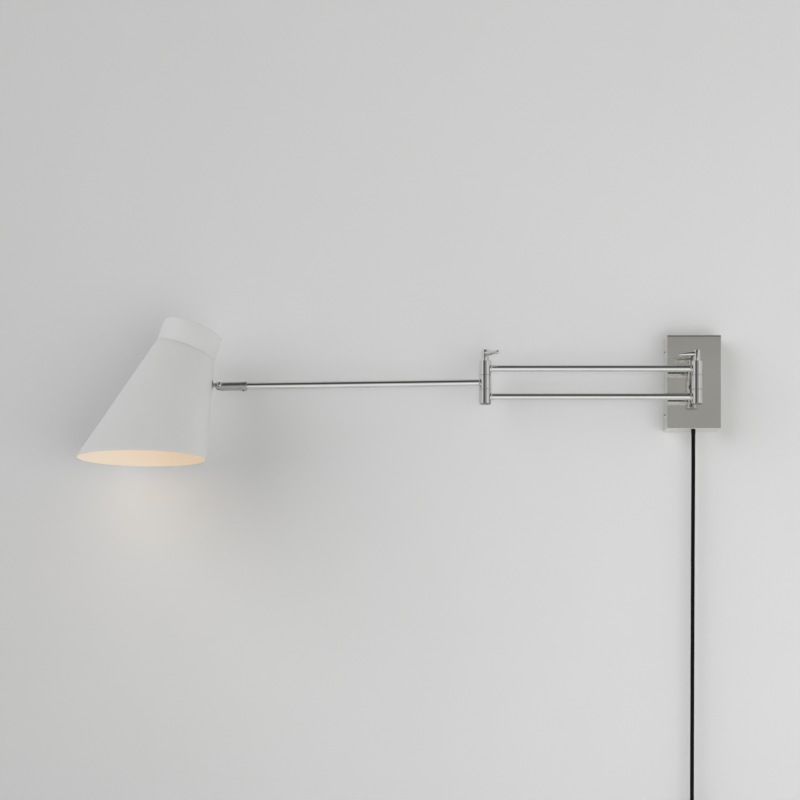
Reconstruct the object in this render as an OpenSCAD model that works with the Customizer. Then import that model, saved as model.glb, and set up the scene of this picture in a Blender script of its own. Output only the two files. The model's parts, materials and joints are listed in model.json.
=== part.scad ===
// Swing arm wall sconce with a plug-in cord.
// A box on the wall carries a parallel-rod inner arm, a single-rod outer arm
// and a leaning cone shade. Each arm joint is a knuckle of three collars on a
// clamped pivot bolt.
// Frame: the wall is the plane y = 0, x runs to the right along the wall,
// y points into the wall and z is up. The origin is the centre of the
// mounting plate's back face. Millimetres.

/* [Wall box] */
// Width of the wall cover
box_w = 82; // [78:1:100]
// Height of the wall cover
box_h = 143; // [138:1:170]
// Depth of the wall cover
box_d = 34; // [32:1:38]
// Sheet thickness of the cover
box_wall = 1.5; // [1:0.1:2]
// Distance between the two wall screws
wall_screw_gap = 60; // [50:1:66]

/* [Arms] */
// Distance from the wall to the pivot axes
pivot_out = 57; // [52:1:70]
// Wall pivot to elbow pivot
inner_len = 319; // [200:1:400]
// Elbow pivot to the tilt screw
outer_len = 399; // [250:1:450]
// Outside diameter of the arm rods
rod_d = 10; // [9:0.5:11]
// Distance between the two inner rods
rod_gap = 42.4; // [41.5:0.1:43.5]

/* [Knuckles] */
// Diameter of the knuckle collars
collar_d = 17.5; // [16.5:0.5:19]
// Height of one collar
collar_h = 21; // [20.4:0.1:21.4]
// Height of the knuckles' middle above the plate's middle
knuckle_z = -5.6; // [-12:0.1:6]
// Length of a clamp lever from its axis to its tip
lever_len = 28; // [20:1:30]

/* [Resting pose] */
// How far the outer arm is turned out from the wall, degrees
outer_yaw = 4.7; // [2:0.1:20]
// How far the outer arm sags, degrees
outer_droop = 1.7; // [0:0.1:3]
// Turn of the shade about the outer arm, degrees
rest_swivel = 5.4; // [-20:0.2:20]
// Upward tilt of the shade's stud, degrees
rest_tilt = 6; // [0:0.2:12]

/* [Shade] */
// Outside radius of the cone at the seam below the cap
seam_r = 45.2; // [44:0.1:50]
// Half angle of the cone, degrees
cone_half = 14.4; // [10:0.1:16]
// Height of the cap above the seam
cap_h = 36; // [30:1:45]
// Height of the shade's level lower edge
mouth_z = -128.1; // [-150:0.1:-120]
// Sheet thickness of the shade
shade_wall = 1.2; // [1:0.1:1.5]

/* [Cord] */
// Diameter of the mains cord
cord_d = 6; // [5:0.5:7]
// Radius of the coil at the middle of its turns
coil_r = 33; // [30:1:36]
// Number of turns in the coil
coil_turns = 5; // [4:1:6]

/* [Hidden] */
$fn = 48;

chrome = [0.78, 0.77, 0.74];
white = [0.92, 0.92, 0.90];
black = [0.08, 0.08, 0.08];
zinc = [0.62, 0.63, 0.65];
brass = [0.80, 0.65, 0.35];

// Running fits and gaps
fit = 0.05;         // radial clearance of a turning bore
seat = 0.02;        // radial clearance of a fixed bore
clear = 0.3;        // gap between faces that move past each other
knuckle_gap = 2 * clear;
collar_pitch = collar_h + knuckle_gap;
collar_r = collar_d / 2;
collar_edge = 0.2;
rod_r = rod_d / 2;
rod_wall = 1.2;
bolt_r = 4;
bolt_head_r = 6.2;
bolt_head_h = 3;
socket_x = 6;       // where a rod ends inside a collar, from the pivot axis
knuckle_top = collar_pitch + collar_h / 2;

// Box interior
plate_t = 2;
plate_side = 3;
cover_screw_z = 48.5;
cover_screw_out = 9;
neck_r = 6;
tail_r = 5;
cord_out = 17;

// Lever
lever_hub_r = 5.4;
lever_hub_h = 16.8;
lever_drop = 5.2;
bolt_reach = 10;    // how far a pivot bolt runs into its lever hub

// Swivel and tilt joint
tilt_rise = 1.5;
sleeve_r = 6.4;
sleeve_back = 41;   // sleeve behind the tilt screw
ring_len = 10.5;
ring_r = 6.8;
fork_r = 6.2;
tongue_t = 3;
tilt_r = 2;
stud_reach = 10.2;  // tilt screw to the shade's surface
stud_r = 3;

// Shade interior, in the shade's own frame
cap_r = seam_r - 0.6;
neck_out = cap_r - shade_wall - 0.1;
neck_h = 6;
attach_drop = 34; // stud below the seam, along the shade's axis
attach_r = seam_r + attach_drop * tan(cone_half);
plate_up = 22;      // underside of the lamp holder's bracket
strap_in = 4.6;     // bracket strap from the shade's surface

// Cord route: hangs straight down, then the coil, then the plug
box_exit_z = -79;
route = [
  [1.5, -17, -79], [1.5, -17, -115], [1.4, -17, -151], [1.2, -17, -187],
  [1.0, -17, -223], [0.8, -17, -259], [0.7, -17, -295], [0.5, -17, -331],
  [0.4, -17, -367], [0.3, -17, -403], [0.1, -17, -439], [0.0, -17, -475],
  [-0.1, -17, -511], [-0.3, -17, -547], [-0.4, -17, -583], [-0.5, -17, -619],
  [-0.5, -17, -655]
];
hang_x = -0.5;
switch_len = 60;
switch_top = -655;
switch_low = switch_top - switch_len;
coil_z = -770;
coil_pitch = 6.3;
coil_far = coil_turns * coil_pitch;
coil_in = sqrt(pow(coil_r + cord_d / 2, 2) - pow(coil_r, 2));
route_lower = [
  [hang_x, -17, switch_low], [hang_x, -17, -733], [hang_x, -17, coil_z + coil_in]
];
tail_y = -cord_out - coil_far;
plug_top = -836;
route_plug = [
  [hang_x, tail_y, coil_z - coil_in], [hang_x, tail_y, -798],
  [hang_x, tail_y, -816], [hang_x, tail_y, plug_top]
];
pin_r = 2;
pin_len = 19;
pin_root_r = 1.5;
pin_gap = 19;
plug_len = 36;

// ---------- frames ----------

// z points out of the wall, y points up
module from_wall(x, z, out) {
  translate([x, -out, z]) rotate([90, 0, 0]) children();
}

module at_wall_pivot() translate([0, -pivot_out, knuckle_z]) children();

module at_elbow() translate([-inner_len, -pivot_out, knuckle_z]) children();

// x runs along the outer arm, away from the elbow
module in_outer_arm() at_elbow() rotate([0, outer_droop, 180 + outer_yaw]) children();

module in_swivel() in_outer_arm() rotate([rest_swivel, 0, 0]) children();

// x runs along the shade's stud, y along the tilt screw
module at_tilt() {
  in_swivel() translate([outer_len, 0, tilt_rise]) rotate([0, -rest_tilt, 0]) children();
}

// x runs into the shade from its outer surface
module at_stud() at_tilt() translate([stud_reach, 0, 0]) children();

// z is the cone's axis, with its zero at the seam
module in_shade() {
  at_stud() rotate([0, -cone_half, 0]) translate([attach_r, 0, attach_drop]) children();
}

// lays a shape's z axis along x
module along_x(x = 0) translate([x, 0, 0]) rotate([0, 90, 0]) children();

// ---------- shared shapes ----------

module tube(r_out, r_in, h) {
  difference() {
    cylinder(r = r_out, h = h);
    translate([0, 0, -1]) cylinder(r = r_in, h = h + 2);
  }
}

// round bar with small chamfers at both ends
module turned(r, h, edge = 0.5) {
  rotate_extrude()
    polygon([[0, 0], [r - edge, 0], [r, edge], [r, h - edge], [r - edge, h], [0, h]]);
}

module rounded_plate(w, h, r) {
  square([w - 2 * r, h], center = true);
  square([w, h - 2 * r], center = true);
  for (sx = [-1, 1], sz = [-1, 1])
    translate([sx * (w / 2 - r), sz * (h / 2 - r)]) circle(r = r);
}

// pan head screw: head under z = 0, shank upwards
module screw(r, len, head_r, head_h) {
  rotate_extrude()
    polygon([[0, -head_h], [head_r - 0.6, -head_h], [head_r, -head_h + 0.6],
             [head_r, 0], [r, 0], [r, len], [0, len]]);
}

module hex_nut(across, h, bore) {
  difference() {
    cylinder(d = across / cos(30), h = h, $fn = 6);
    translate([0, 0, -1]) cylinder(r = bore, h = h + 2);
  }
}

// insulated wire through a short list of points
module wire(path, r) {
  for (i = [0 : len(path) - 2]) {
    step = path[i + 1] - path[i];
    run = norm(step);
    translate(path[i])
      rotate([0, acos(step[2] / run), atan2(step[1], step[0])]) cylinder(r = r, h = run);
    if (i > 0) translate(path[i]) sphere(r = r * 1.06);
  }
}

// round tube along a route that runs mostly downwards
cord_sides = 10;
function midway(path) = [
  for (i = [0 : 2 * (len(path) - 1)])
    i % 2 == 0 ? path[i / 2] : (path[(i - 1) / 2] + path[(i + 1) / 2]) / 2
];
function ring(centre, r) = [
  for (k = [0 : cord_sides - 1])
    centre + r * [cos(360 * k / cord_sides), sin(360 * k / cord_sides), 0]
];
module hanging_tube(path, d) {
  last = len(path) - 1;
  points = [for (p = path) each ring(p, d / 2)];
  top = [for (k = [0 : cord_sides - 1]) k];
  bottom = [for (k = [cord_sides - 1 : -1 : 0]) last * cord_sides + k];
  sides = [
    for (i = [0 : last - 1], k = [0 : cord_sides - 1])
      let (a = i * cord_sides, b = a + cord_sides, n = (k + 1) % cord_sides)
        [a + k, b + k, b + n, a + n]
  ];
  polyhedron(points = points, faces = concat([top], sides, [bottom]));
}

// ---------- wall box ----------

module mounting_plate() color(zinc) {
  w = box_w - 2 * plate_side;
  h = box_h - 2 * plate_side;
  difference() {
    from_wall(0, 0, 0) linear_extrude(plate_t) rounded_plate(w, h, 2);
    for (s = [-1, 1])
      from_wall(0, s * wall_screw_gap / 2, -1) cylinder(r = 2.25, h = plate_t + 2);
  }
  for (sx = [-1, 1], sz = [-1, 1])
    translate([sx * (w / 2 - 1), 0, sz * cover_screw_z])
      difference() {
        translate([-1, -16, -7]) cube([2, 15, 14]);
        translate([-2, -cover_screw_out, 0]) rotate([0, 90, 0]) cylinder(r = 1.6, h = 4);
      }
}

module wall_cover() color(chrome) difference() {
  from_wall(0, 0, 0) linear_extrude(box_d) rounded_plate(box_w, box_h, 2);
  from_wall(0, 0, -1) linear_extrude(box_d - box_wall + 1)
    rounded_plate(box_w - 2 * box_wall, box_h - 2 * box_wall, 1);
  from_wall(0, knuckle_z, box_d - 5) cylinder(r = tail_r + 0.3, h = 10);
  translate([route[0][0], -cord_out, -box_h / 2 - 5]) cylinder(r = 4.4, h = 10);
  for (sz = [-1, 1])
    translate([-box_w, -cover_screw_out, sz * cover_screw_z]) rotate([0, 90, 0])
      cylinder(r = 1.8, h = 2 * box_w);
}

module cover_screws() color(chrome)
  for (sx = [-1, 1], sz = [-1, 1])
    translate([sx * box_w / 2, -cover_screw_out, sz * cover_screw_z])
      rotate([0, -sx * 90, 0]) screw(1.5, 8, 2.8, 1.6);

module wall_hub() color(chrome) difference() {
  union() {
    at_wall_pivot() translate([0, 0, -collar_h / 2]) turned(collar_r, collar_h, collar_edge);
    from_wall(0, knuckle_z, box_d) cylinder(r = neck_r, h = pivot_out - box_d - 6);
    from_wall(0, knuckle_z, 18) cylinder(r = tail_r, h = pivot_out - 18 - 6);
  }
  at_wall_pivot() translate([0, 0, -collar_h]) cylinder(r = bolt_r + seat, h = 2 * collar_h);
  from_wall(0, knuckle_z, 17) cylinder(r = 2.6, h = pivot_out - 17 - bolt_r - 2);
}

module hub_washer() color(zinc)
  from_wall(0, knuckle_z, box_d - box_wall - 1) tube(9, tail_r + 0.3, 1);

module hub_nut() color(zinc)
  from_wall(0, knuckle_z, box_d - box_wall - 5.5) hex_nut(16, 4.5, tail_r + 0.1);

// ---------- knuckles ----------

// bolt with a flush head in the bottom collar; z = 0 is the knuckle's middle
module pivot_bolt() {
  bottom = -knuckle_top;
  translate([0, 0, bottom]) turned(bolt_head_r, bolt_head_h, 0.4);
  translate([0, 0, bottom + 1]) cylinder(r = bolt_r, h = 2 * knuckle_top + clear + bolt_reach - 1);
}

// collar with a socket for a rod; side is 1 above the knuckle's middle, -1 below,
// and socket_turn is the rod's direction about z
module rod_collar(side, bore, socket_turn) {
  translate([0, 0, side * collar_pitch]) difference() {
    translate([0, 0, -collar_h / 2]) turned(collar_r, collar_h, collar_edge);
    translate([0, 0, -collar_h]) cylinder(r = bore, h = 2 * collar_h);
    rotate([0, 0, socket_turn]) translate([0, 0, side * (rod_gap / 2 - collar_pitch)])
      along_x(socket_x) cylinder(r = rod_r + seat, h = collar_r);
    // counterbore for the bolt's head
    if (side < 0)
      translate([0, 0, -collar_h])
        cylinder(r = bolt_head_r + clear, h = collar_h / 2 + bolt_head_h + clear);
  }
}

module friction_washers(side) {
  for (s = [-1, 1])
    translate([0, 0, s * (collar_pitch / 2 + side * clear / 2) - clear / 2])
      tube(collar_r - 0.1, bolt_r + 0.3, clear);
}

module lever() {
  difference() {
    union() {
      turned(lever_hub_r, lever_hub_h, 0.8);
      translate([0, 0, lever_hub_h - lever_drop]) along_x() rotate_extrude()
        polygon([[0, 0], [3.8, 0], [3.6, 6], [3.0, 12], [2.5, 18], [2.3, lever_len - 6],
                 [2.6, lever_len - 5], [3.0, lever_len - 4], [3.1, lever_len - 2.6],
                 [2.8, lever_len - 1.2], [1.8, lever_len - 0.3], [0, lever_len]]);
    }
    translate([0, 0, -1]) cylinder(r = bolt_r + fit, h = bolt_reach + 2);
  }
}

module wall_pivot_bolt() color(chrome) at_wall_pivot() pivot_bolt();

module wall_washers() color(chrome) at_wall_pivot() friction_washers(-1);

module wall_lever() color(chrome)
  at_wall_pivot() translate([0, 0, knuckle_top + clear]) rotate([0, 0, 180]) lever();

module elbow_pivot_bolt() color(chrome) at_elbow() pivot_bolt();

module elbow_washers() color(chrome) at_elbow() friction_washers(1);

module elbow_lever() color(chrome)
  at_elbow() translate([0, 0, knuckle_top + clear]) rotate([0, 0, -46]) lever();

module wall_top_collar() color(chrome) at_wall_pivot() rod_collar(1, bolt_r + fit, 180);

module wall_bottom_collar() color(chrome) at_wall_pivot() rod_collar(-1, bolt_r + fit, 180);

module elbow_top_collar() color(chrome) at_elbow() rod_collar(1, bolt_r + seat, 0);

module elbow_bottom_collar() color(chrome) at_elbow() rod_collar(-1, bolt_r + seat, 0);

// ---------- arms ----------

module inner_rod(z) {
  at_wall_pivot() translate([0, 0, z]) rotate([0, 0, 180])
    along_x(socket_x) tube(rod_r, rod_r - rod_wall, inner_len - 2 * socket_x);
}

module upper_rod() color(chrome) inner_rod(rod_gap / 2);

module lower_rod() color(chrome) inner_rod(-rod_gap / 2);

module inner_arm_wire() color(black)
  at_wall_pivot() translate([0, 0, rod_gap / 2]) rotate([0, 0, 180])
    along_x(socket_x + 1) cylinder(r = 2, h = inner_len - 2 * socket_x - 2);

module elbow_hub() color(chrome) difference() {
  at_elbow() translate([0, 0, -collar_h / 2]) turned(collar_r, collar_h, collar_edge);
  at_elbow() translate([0, 0, -collar_h]) cylinder(r = bolt_r + fit, h = 2 * collar_h);
  in_outer_arm() along_x(socket_x) cylinder(r = rod_r + seat, h = collar_r);
}

rod_end = outer_len - 14;
module outer_rod() color(chrome) in_outer_arm() difference() {
  along_x(socket_x) tube(rod_r, rod_r - rod_wall, rod_end - socket_x);
  // groove that the set screw runs in
  along_x(outer_len - sleeve_back + ring_len / 2 - 1.8) tube(rod_r + 1, rod_r - 0.6, 3.6);
}

module outer_arm_wire() color(black)
  in_outer_arm() along_x(socket_x + 1) cylinder(r = 2, h = rod_end - socket_x - 2);

// ---------- swivel and tilt joint ----------

module swivel_sleeve() color(chrome) in_swivel() {
  start = outer_len - sleeve_back + ring_len;
  difference() {
    intersection() {
      along_x(start) turned(sleeve_r, sleeve_back - ring_len + fork_r, 0.4);
      translate([0, 15, 0]) rotate([90, 0, 0]) linear_extrude(30) {
        translate([outer_len, tilt_rise]) circle(r = fork_r);
        translate([start - 1, -sleeve_r]) square([outer_len - 2.5 - start + 1, 2 * sleeve_r]);
      }
    }
    along_x(start - 1) cylinder(r = rod_r + fit, h = rod_end - start + 2);
    along_x(start) cylinder(r = 2.2, h = outer_len - start);
    // fork slot and cross hole
    translate([outer_len - 5.8, -tongue_t / 2 - 0.35, -10]) cube([20, tongue_t + 0.7, 20]);
    translate([outer_len, 15, tilt_rise]) rotate([90, 0, 0]) cylinder(r = tilt_r + seat, h = 30);
    // flat seats for the screw's head and nut
    for (s = [-1, 1])
      translate([outer_len, s * 6 + 5 * s, tilt_rise]) rotate([90, 0, 0])
        cylinder(r = 4.2, h = 10, center = true);
  }
}

module swivel_ring() color(chrome) in_swivel() difference() {
  along_x(outer_len - sleeve_back) difference() {
    turned(ring_r, ring_len - 0.2, 0.5);
    translate([0, 0, -1]) cylinder(r = rod_r + fit, h = ring_len + 2);
  }
  translate([outer_len - sleeve_back + ring_len / 2, 0, -10]) cylinder(r = 1.52, h = 8);
}

module set_screw() color(black)
  in_swivel() translate([outer_len - sleeve_back + ring_len / 2, 0, -ring_r - 0.5])
    difference() {
      cylinder(r = 1.5, h = ring_r + 0.5 - rod_r + 0.25);
      translate([0, 0, -1]) cylinder(r = 0.8, h = 2, $fn = 6);
    }

// domed head towards +y of the joint, which faces the room
module tilt_screw() color(chrome)
  in_swivel() translate([outer_len, 0, tilt_rise]) rotate([90, 0, 0]) rotate_extrude()
    polygon([[0, -8], [2, -7.8], [3, -7.3], [3.4, -6.7], [3.4, -6.2], [tilt_r, -6.2],
             [tilt_r, 8.4], [0, 8.4]]);

module tilt_nut() color(chrome)
  in_swivel() translate([outer_len, -6.3, tilt_rise]) rotate([90, 0, 0])
    hex_nut(6.5, 2, tilt_r + seat);

module shade_stud() color(chrome) at_tilt() difference() {
  union() {
    // tongue
    translate([0, tongue_t / 2, 0]) rotate([90, 0, 0]) cylinder(r = 5.2, h = tongue_t);
    translate([0, -tongue_t / 2, -2.6]) cube([fork_r + 1, tongue_t, 5.2]);
    // trumpet foot on the shade and the threaded stud inside
    along_x() rotate_extrude()
      polygon([[0, fork_r + 0.4], [2.4, fork_r + 0.4], [2.7, 7.6], [3.4, 8.4], [4.6, 9.0],
               [7, 9.4], [7, 10.0], [stud_r, 10.0], [stud_r, stud_reach + 12],
               [0, stud_reach + 12]]);
  }
  translate([0, 5, 0]) rotate([90, 0, 0]) cylinder(r = tilt_r + fit, h = 10);
  along_x(fork_r + 2) cylinder(r = 1.6, h = 30);
}

module stud_nut() color(zinc)
  at_stud() along_x(strap_in + 2) hex_nut(11, 4, stud_r + seat);

// ---------- shade ----------

function cone_r(z) = seam_r - z * tan(cone_half);
shade_low = -210;
shell_offset = shade_wall / cos(cone_half);

module below_mouth() translate([-1200, -500, mouth_z - 300]) cube([900, 800, 300]);

module shade_shell() color(white) difference() {
  in_shade() rotate_extrude()
    polygon([[cone_r(shade_low), shade_low], [seam_r, 0], [neck_out, 0], [neck_out, neck_h],
             [neck_out - shade_wall, neck_h], [neck_out - shade_wall, -1.2],
             [cone_r(-1.2) - shell_offset, -1.2], [cone_r(shade_low) - shell_offset, shade_low]]);
  below_mouth();
  at_stud() along_x(-3) cylinder(r = stud_r + 0.2, h = 8);
}

module shade_cap() color(white) in_shade() rotate_extrude()
  polygon([[0, cap_h], [cap_r - 1.5, cap_h], [cap_r - 0.6, cap_h - 0.3], [cap_r - 0.2, cap_h - 0.8],
           [cap_r, cap_h - 1.6], [cap_r, 0.5], [cap_r - shade_wall, 0.5],
           [cap_r - shade_wall, cap_h - shade_wall], [0, cap_h - shade_wall]]);

module holder_bracket() color(zinc) difference() {
  union() {
    at_stud() along_x(1.9) cylinder(r = 6, h = strap_in - 1.9 + 0.5);
    at_stud() translate([strap_in, -6, -9]) cube([2, 12, 71]);
    in_shade() translate([-37, -6, plate_up]) cube([37, 12, 2]);
    in_shade() translate([0, 0, plate_up]) cylinder(r = 12, h = 2);
  }
  at_stud() along_x(0) cylinder(r = stud_r + seat, h = 12);
  in_shade() translate([0, 0, plate_up - 5]) cylinder(r = 5.1, h = 10);
}

module holder_nipple() color(zinc) in_shade() translate([0, 0, plate_up - 8]) tube(5, 3.5, 14);

module nipple_nut() color(zinc)
  in_shade() translate([0, 0, plate_up + 2]) hex_nut(14, 3, 5.02);

module holder_cap() color(white) in_shade() rotate_extrude()
  polygon([[5.1, plate_up - 0.1], [12, plate_up - 0.1], [17, plate_up - 4], [19, plate_up - 10],
           [19, 4.1], [17, 4.1], [17, plate_up - 9], [15, plate_up - 5], [5.1, plate_up - 2.5]]);

module holder_body() color(white) in_shade() rotate_extrude()
  polygon([[14.4, 4], [20, 4], [20.5, -10], [20, -30], [18.5, -31], [14.4, -31]]);

module holder_contacts() color(brass) in_shade() {
  translate([0, 0, -27]) tube(14.3, 13.5, 29);
  translate([-4, -2, 1.1]) cube([8, 4, 0.8]);
}

module bulb_base() color(zinc) in_shade() rotate_extrude()
  polygon([[0, 1], [4, 1], [5, 0], [12.6, -3], [13.3, -5], [13.3, -27], [0, -27]]);

// outline of the bulb, from the neck down to the round end
function bulb_r(t) = 13.4 + 12.6 * (1 - cos(180 * t)) / 2;
bulb_ball = 30;
bulb_mid = -78;
neck_low = bulb_mid + sqrt(pow(bulb_ball, 2) - pow(26, 2));
module bulb_outline(inset) {
  polygon(concat(
    [[0, -27.1], [13.4 - inset, -27.1]],
    [for (i = [0 : 12]) [bulb_r(i / 12) - inset, -30 + (neck_low + 30) * i / 12]],
    [for (a = [25 : -10 : -85])
      [(bulb_ball - inset) * cos(a), bulb_mid + (bulb_ball - inset) * sin(a)]],
    [[0, bulb_mid - bulb_ball + inset]]));
}
module bulb_glass() color(white) in_shade() rotate_extrude() difference() {
  bulb_outline(0);
  bulb_outline(1.2);
}

module shade_lead() color(black) in_shade()
  wire([[-41, 0, -38], [-36, 0, -37], [-31, 0, -28], [-27, 0, -8], [-25, 0, 8], [-19.5, 0, 13]], 2);

// ---------- wiring in the box ----------

module terminal_block() color(white) difference() {
  translate([-31, -16, -24]) cube([14, 14, 38]);
  for (x = [-27.5, -20.5], z = [-16, 6]) from_wall(x, z, 10) cylinder(r = 2.6, h = 10);
  for (x = [-27.5, -20.5]) translate([x, -8, -30]) cylinder(r = 1.5, h = 50);
}

module terminal_screws() color(brass)
  for (x = [-27.5, -20.5], z = [-16, 6]) from_wall(x, z, 10.2) cylinder(r = 2.2, h = 4);

clamp_z = -45;
module clamp_base() color(zinc) difference() {
  translate([route[0][0] - 13, -cord_out + 0.3, clamp_z - 5]) cube([26, cord_out - 0.3 - plate_t, 10]);
  translate([route[0][0], -cord_out, clamp_z - 10]) cylinder(r = cord_d / 2 + 0.05, h = 20);
  for (s = [-1, 1]) from_wall(route[0][0] + s * 9, clamp_z, 5) cylinder(r = 1.45, h = 20);
}

module clamp_bar() color(zinc) difference() {
  translate([route[0][0] - 13, -cord_out - 5, clamp_z - 5]) cube([26, 4.7, 10]);
  translate([route[0][0], -cord_out, clamp_z - 10]) cylinder(r = cord_d / 2 + 0.05, h = 20);
  for (s = [-1, 1]) from_wall(route[0][0] + s * 9, clamp_z, 5) cylinder(r = 1.6, h = 30);
}

module clamp_screws() color(zinc)
  for (s = [-1, 1])
    translate([route[0][0] + s * 9, -cord_out - 5, clamp_z]) rotate([-90, 0, 0])
      screw(1.4, 13, 2.7, 1.6);

module box_leads() color(black) {
  translate([route[0][0], -cord_out, -54.9]) cylinder(r = cord_d / 2, h = 18);
  for (s = [-1, 1]) {
    wire([[1.5 + s * 1.4, -17, -37.2], [-12, -13 - s * 1.5, -36.2],
          [-24 + s * 3.5, -8, -30], [-24 + s * 3.5, -8, -19.5]], 1.1);
    wire([[-24 + s * 3.5, -8, 9.5], [-24 + s * 3.5, -8, 17], [-14, -12 - s * 1.3, 17],
          [-3, -12 - s * 1.3, 4], [s * 1.2, -15, knuckle_z],
          [s * 1.2, -40, knuckle_z]], 1.1);
  }
}

// ---------- cord, switch and plug ----------

module cord_relief() color(black)
  translate([route[0][0], -cord_out, 0]) rotate_extrude()
    polygon([[0, box_exit_z], [3.2, box_exit_z], [4.2, -71], [4.2, -69.4], [6.5, -69.4],
             [6.5, -67.4], [4.2, -67.4], [3.6, -55], [0, -55]]);

module mains_cord() color(black) hanging_tube(midway(route), cord_d);

module cord_lower() color(black) hanging_tube(midway(route_lower), cord_d);

module plug_lead() color(black) hanging_tube(route_plug, cord_d);

module at_coil() translate([hang_x + coil_r, -cord_out, coil_z]) rotate([90, 0, 0]) children();

module cord_coil() color(black) at_coil() rotate_extrude()
  translate([coil_r - cord_d / 2, -cord_d / 2]) square([cord_d, coil_far + cord_d]);

module coil_tie() color(black)
  translate([hang_x + coil_r, -cord_out - coil_far / 2, coil_z + coil_r]) difference() {
    cube([14, coil_far + cord_d + 4, cord_d + 5], center = true);
    cube([20, coil_far + cord_d + 0.6, cord_d + 2.8], center = true);
  }

// inline switch: two shells round the cord, with a rocker in the front one
switch_w = 26;
switch_out = 11;     // half depth
rocker_w = 11;
rocker_len = 20;
switch_mid = switch_top - switch_len / 2;

module switch_outline(depth, inset) {
  translate([hang_x, 0, switch_mid]) rotate([90, 0, 0])
    linear_extrude(depth)
      rounded_plate(switch_w - 2 * inset, switch_len - 2 * inset, 7 - inset);
}

boss_x = 8.5;
boss_z = 17;
module at_switch_screws() for (s = [-1, 1])
  from_wall(hang_x + s * boss_x, switch_mid - s * boss_z, cord_out - switch_out) children();

module switch_back() color(black) difference() {
  union() {
    difference() {
      translate([0, switch_out - cord_out, 0]) switch_outline(switch_out - 0.05, 0);
      translate([0, switch_out - cord_out - 2, 0]) switch_outline(switch_out, 2);
    }
    // posts under the contacts
    for (s = [-1, 1])
      from_wall(hang_x, switch_mid + s * 8, cord_out - switch_out + 1)
        translate([-3, -2, 0]) cube([6, 4, 12.8]);
  }
  at_switch_screws() translate([0, 0, -5]) cylinder(r = 1.6, h = 10);
}

rocker_axis = cord_out + switch_out - 2.5;
rocker_gap = 0.7;
rocker_press = 7;    // tilt of the rocker at rest, one end pressed in
rocker_pin_r = 1.2;
module at_rocker() translate([hang_x, -rocker_axis, switch_mid]) children();

module switch_front() color(black) difference() {
  union() {
    difference() {
      translate([0, -cord_out - 0.05, 0]) switch_outline(switch_out - 0.05, 0);
      translate([0, 1 - cord_out, 0]) switch_outline(rocker_axis - cord_out + 1, 2);
    }
    // ears for the rocker's pins, and screw bosses
    for (s = [-1, 1])
      at_rocker() translate([s * 7.5 - 1.3, 0, -3]) translate([0, -1, 0]) cube([2.6, 4.5, 6]);
    at_switch_screws() translate([0, 0, switch_out + 0.05]) cylinder(r = 2.8, h = 9);
  }
  at_rocker() translate([-rocker_w / 2 - rocker_gap, -10, -rocker_len / 2 - rocker_gap])
    cube([rocker_w + 2 * rocker_gap, 20, rocker_len + 2 * rocker_gap]);
  at_rocker() along_x(-9) cylinder(r = rocker_pin_r + fit, h = 18);
  at_switch_screws() cylinder(r = 1.5 + seat, h = 14.5);
}

module switch_screws() color(zinc) at_switch_screws() screw(1.5, 14, 2.6, 1.2);

module switch_contacts() color(brass)
  for (s = [-1, 1])
    from_wall(hang_x, switch_mid + s * 8, cord_out - switch_out + 13.8)
      translate([-3, -2, 0]) cube([6, 4, 1]);

module switch_rocker() color(black) at_rocker() rotate([rocker_press, 0, 0]) {
  translate([-rocker_w / 2, 0, 0]) rotate([0, 90, 0]) linear_extrude(rocker_w)
    polygon([[-rocker_len / 2, -3.0], [-5, -4.2], [0, -4.6], [5, -4.2], [rocker_len / 2, -3.0],
             [rocker_len / 2, -1.4], [4, 1.0], [0, 1.6], [-4, 1.0], [-rocker_len / 2, -1.4]]);
  along_x(-rocker_w / 2 - 2.8) cylinder(r = rocker_pin_r, h = rocker_w + 5.6);
}

module plug_body() color(black)
  translate([hang_x, tail_y, plug_top - plug_len]) difference() {
    union() {
      hull() {
        linear_extrude(1) rounded_plate(34, 13, 6, $fn = 32);
        translate([0, 0, 14]) linear_extrude(1) rounded_plate(34, 13, 6, $fn = 32);
        translate([0, 0, 25]) linear_extrude(1) rounded_plate(16, 11, 5, $fn = 32);
      }
      translate([0, 0, 25]) cylinder(r1 = 5, r2 = 3.4, h = plug_len - 25);
    }
    for (s = [-1, 1]) translate([s * pin_gap / 2, 0, -1]) cylinder(r = pin_root_r + seat, h = 9);
  }

// each pin has a rounded tip and a thinner root held in the body
module plug_pins() color(brass)
  translate([hang_x, tail_y, plug_top - plug_len])
    for (s = [-1, 1]) translate([s * pin_gap / 2, 0, 0]) rotate_extrude()
      polygon([[0, -pin_len], [pin_r - 0.7, -pin_len], [pin_r, 0.7 - pin_len], [pin_r, 0],
               [pin_root_r, 0], [pin_root_r, 7.5], [0, 7.5]]);

mounting_plate();
wall_cover();
cover_screws();
wall_hub();
hub_washer();
hub_nut();
wall_pivot_bolt();
wall_washers();
terminal_block();
terminal_screws();
clamp_base();
clamp_bar();
clamp_screws();
box_leads();
cord_relief();
mains_cord();
cord_lower();
cord_coil();
coil_tie();
plug_lead();
plug_body();
plug_pins();
switch_back();
switch_front();
switch_screws();
switch_contacts();
switch_rocker();
wall_lever();
upper_rod();
lower_rod();
wall_top_collar();
wall_bottom_collar();
elbow_top_collar();
elbow_bottom_collar();
elbow_pivot_bolt();
elbow_washers();
inner_arm_wire();
elbow_lever();
elbow_hub();
outer_rod();
outer_arm_wire();
swivel_sleeve();
swivel_ring();
set_screw();
tilt_screw();
tilt_nut();
shade_stud();
stud_nut();
shade_shell();
shade_cap();
holder_bracket();
holder_nipple();
nipple_nut();
holder_cap();
holder_body();
holder_contacts();
bulb_base();
bulb_glass();
shade_lead();
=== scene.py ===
import json
from math import atan2, cos, pi, radians, sin, sqrt, tan

import bmesh
import bpy
from mathutils import Matrix, Vector


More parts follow.
